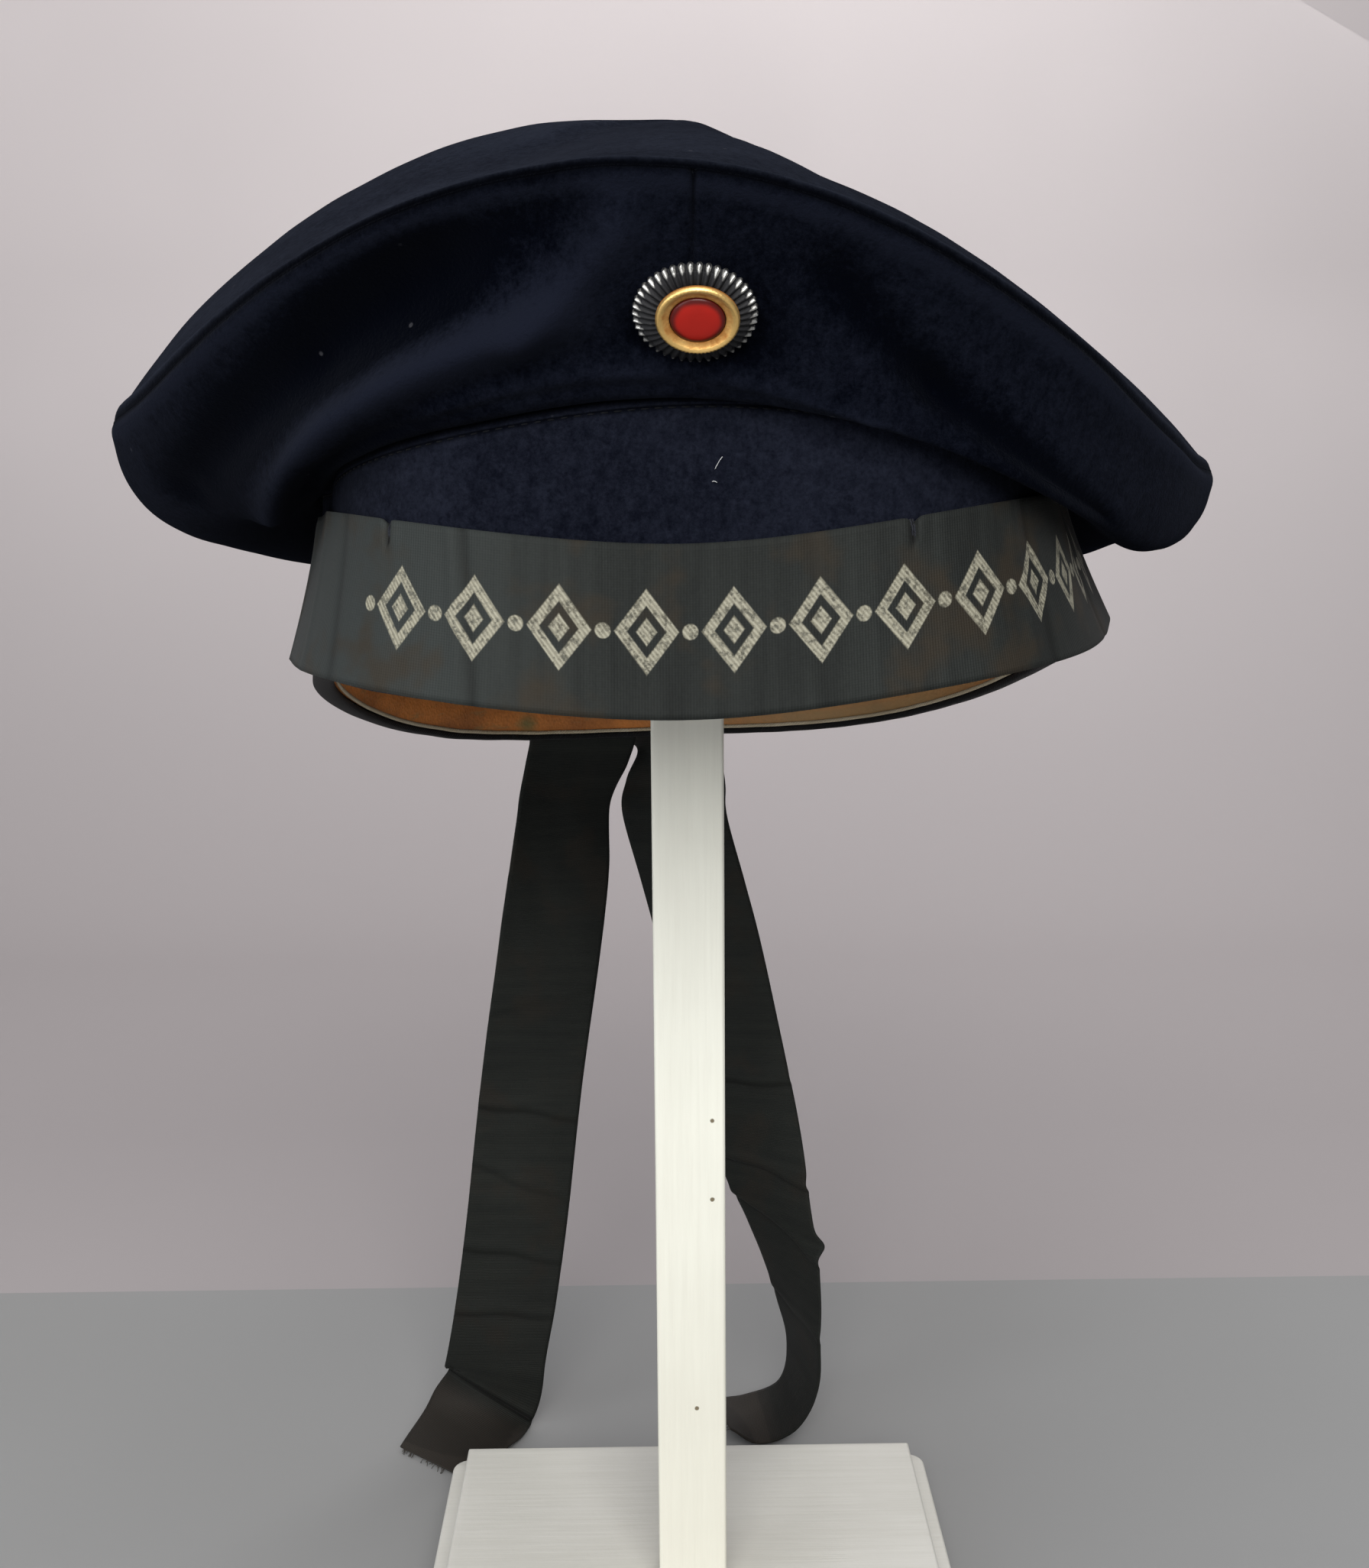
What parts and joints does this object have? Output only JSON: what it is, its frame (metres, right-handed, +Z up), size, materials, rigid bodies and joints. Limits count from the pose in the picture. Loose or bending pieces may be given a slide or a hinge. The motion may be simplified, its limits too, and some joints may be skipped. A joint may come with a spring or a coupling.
{
  "type": "sailor cap on display stand",
  "caption": "Soft peakless sailor cap with a wide drooping top, ribbon band, pinned oval cockade and long streamers, on a square wooden post with a square base.",
  "frame": {"origin": "centre of the underside of the stand's base plate", "axes": "+Z up along the post, -Y towards the cap's front with the cockade, +X to the right as seen from the front"},
  "size_m": [0.245, 0.2649, 0.3604],
  "materials": {
    "navy_wool": "napped, matte, dark navy",
    "ribbed_ribbon": "ribbed silk, faded grey-green black",
    "brown_leather": "worn orange-brown leather",
    "black_binding": "black folded tape",
    "silvered_metal": "pressed and ribbed, silvered, tarnished in the grooves",
    "gilt_metal": "gilt, satin",
    "red_enamel": "red enamel, glossy",
    "painted_wood": "painted off-white, satin, lightly worn"
  },
  "bodies": {
    "root": {"top_disc": "navy_wool", "side_panel_left": "navy_wool", "side_panel_right": "navy_wool", "head_band": "navy_wool", "rim_binding": "black_binding", "sweatband": "brown_leather", "tally_ribbon": "ribbed_ribbon", "streamer_left": "ribbed_ribbon", "streamer_right": "ribbed_ribbon", "cockade_backing": "silvered_metal", "cockade_ring": "gilt_metal", "cockade_dome": "red_enamel", "stand_base": "painted_wood", "stand_post": "painted_wood"}
  },
  "joints": []
}
